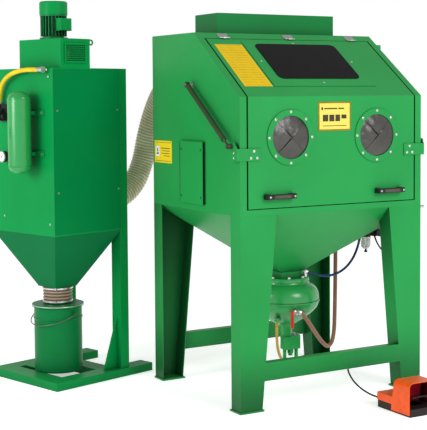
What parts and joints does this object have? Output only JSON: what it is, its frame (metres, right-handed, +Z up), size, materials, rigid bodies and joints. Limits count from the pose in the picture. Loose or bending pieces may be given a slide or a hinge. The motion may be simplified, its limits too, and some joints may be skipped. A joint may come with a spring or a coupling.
{
  "type": "sandblast cabinet",
  "caption": "Pressure-fed sandblast cabinet on a leg stand with lifting glove door, hopper, blast pot, foot pedal and a ducted cartridge dust collector.",
  "frame": {"origin": "on the floor, under the middle of the box around the whole set without its hoses", "axes": "+X to the operator's right, +Y towards the back of the cabinet, +Z up; the operator stands on the -Y side"},
  "size_m": [1.7996, 1.9031, 1.866],
  "materials": {
    "green_paint": "semi-gloss powder coat",
    "rubber_dark": "matt",
    "glove_rubber": "matt",
    "window_glass": "dark tinted",
    "lamp_glass": "frosted",
    "bright_steel": "zinc plated",
    "steel": "brushed",
    "black_plastic": "matt",
    "yellow_plate": "printed plate",
    "brass": "plain",
    "duct_tan": "ribbed flexible duct",
    "hose_brown": "matt",
    "hose_blue": "satin",
    "hose_black": "satin",
    "hose_yellow": "satin",
    "hose_amber": "satin",
    "bowl_clear": "clear polycarbonate",
    "pedal_orange": "satin",
    "pedal_dark": "matt",
    "lever_red": "dipped vinyl",
    "knob_blue": "matt",
    "filter_media": "pleated paper",
    "motor_green": "satin",
    "sleeve_clear": "translucent"
  },
  "bodies": {
    "frame": {"cabinet_shell": "green_paint", "light_box": "green_paint", "light_glass": "lamp_glass", "hopper": "green_paint", "stand_legs": "green_paint", "foot_plates": "green_paint", "floor_grate": "steel", "blast_nozzle": "steel", "sheet_covers": "green_paint", "warning_plate": "yellow_plate", "hinge_leaves": "bright_steel", "frame_bolts": "bright_steel", "blast_pot": "green_paint", "grit_valve": "green_paint", "hose_fittings": "brass", "frl_head": "black_plastic", "frl_bowl": "bowl_clear", "unit_brackets": "green_paint", "duct_spigots": "green_paint", "duct_hose": "duct_tan", "blast_hose": "hose_brown", "air_hose": "hose_blue", "signal_hose": "hose_black", "grit_hose": "hose_amber", "pedal_hose": "hose_black", "pedal_base": "pedal_dark", "pedal_guard": "pedal_orange", "dc_casing": "green_paint", "dc_hopper": "green_paint", "dc_frame": "green_paint", "filter_cartridge": "filter_media", "fan_housing": "green_paint", "fan_covers": "green_paint", "fan_motor": "motor_green", "air_tank": "green_paint", "pulse_valve": "black_plastic", "pulse_hose": "hose_yellow", "bucket": "green_paint", "sleeve": "sleeve_clear"},
    "front_door": {"front_door": "green_paint", "door_rubbers": "rubber_dark", "window_glass": "window_glass", "door_trim": "green_paint", "door_hardware": "bright_steel", "door_handles": "black_plastic", "door_plates": "yellow_plate", "gloves": "glove_rubber"},
    "strut_cylinder_left": {"strut_cylinder_left": "pedal_dark"},
    "strut_cylinder_right": {"strut_cylinder_right": "pedal_dark"},
    "strut_rod_left": {"strut_rod_left": "bright_steel"},
    "strut_rod_right": {"strut_rod_right": "bright_steel"},
    "side_door": {"side_door": "green_paint"},
    "side_latch": {"side_latch": "black_plastic"},
    "popup_valve": {"popup_valve": "lever_red"},
    "ball_lever": {"ball_lever": "lever_red"},
    "frl_knob": {"frl_knob": "knob_blue"},
    "pedal_treadle": {"pedal_treadle": "pedal_dark"},
    "fan_impeller": {"fan_impeller": "steel"},
    "bucket_bail": {"bucket_bail": "steel"}
  },
  "joints": [
    {"name": "front_door_lift", "type": "hinge", "parent": "frame", "child": "front_door", "pos_m": [0.313, -0.16467, 1.67493], "axis": [-1, 0, 0], "range_deg": [0, 60]},
    {"name": "strut_left_swing", "type": "hinge", "parent": "frame", "child": "strut_cylinder_left", "pos_m": [-0.224, -0.113, 1.458], "axis": [-1, 0, 0], "range_deg": [0, 58.17]},
    {"name": "strut_left_extend", "type": "slide", "parent": "strut_cylinder_left", "child": "strut_rod_left", "axis": [0, -0.8067, -0.591], "range_m": [0, 0.2238]},
    {"name": "strut_right_swing", "type": "hinge", "parent": "frame", "child": "strut_cylinder_right", "pos_m": [0.85, -0.113, 1.458], "axis": [-1, 0, 0], "range_deg": [0, 58.17]},
    {"name": "strut_right_extend", "type": "slide", "parent": "strut_cylinder_right", "child": "strut_rod_right", "axis": [0, -0.8067, -0.591], "range_m": [0, 0.2238]},
    {"name": "side_door_swing", "type": "hinge", "parent": "frame", "child": "side_door", "pos_m": [0.876, 0.269, 1.32], "axis": [0, 0, 1], "range_deg": [0, 110]},
    {"name": "side_latch_turn", "type": "hinge", "parent": "side_door", "child": "side_latch", "pos_m": [0.88, -0.055, 1.32], "axis": [1, 0, 0], "range_deg": [-90, 0]},
    {"name": "popup_valve_rise", "type": "slide", "parent": "frame", "child": "popup_valve", "axis": [0, 0, 1], "range_m": [0, 0.02]},
    {"name": "ball_lever_turn", "type": "hinge", "parent": "frame", "child": "ball_lever", "pos_m": [0.246, -0.281, 0.376], "axis": [1, 0, 0], "range_deg": [-90, 0]},
    {"name": "frl_knob_turn", "type": "hinge", "parent": "frame", "child": "frl_knob", "pos_m": [0.787, -0.217, 0.77], "axis": [0, 0, 1], "range_deg": [0, 300]},
    {"name": "pedal_press", "type": "hinge", "parent": "frame", "child": "pedal_treadle", "pos_m": [0.485, -0.844, 0.05], "axis": [1, 0, 0], "range_deg": [0, 9], "stiffness_Nm_per_rad": 4, "springref_deg": -17.19},
    {"name": "fan_spin", "type": "hinge", "parent": "frame", "child": "fan_impeller", "pos_m": [-0.63827, 0.47215, 1.64], "axis": [0, 0, 1], "continuous": true},
    {"name": "bucket_bail_swing", "type": "hinge", "parent": "frame", "child": "bucket_bail", "pos_m": [-0.59467, 0.57495, 0.33], "axis": [-0.273, 0.962, 0], "range_deg": [0, 65]}
  ],
  "couplings": [
    {"joint": "strut_left_swing", "follows": "front_door_lift", "ratio": 0.96121},
    {"joint": "strut_left_extend", "follows": "front_door_lift", "m_per_rad": 0.21182},
    {"joint": "strut_right_swing", "follows": "front_door_lift", "ratio": 0.96121},
    {"joint": "strut_right_extend", "follows": "front_door_lift", "m_per_rad": 0.21182}
  ]
}
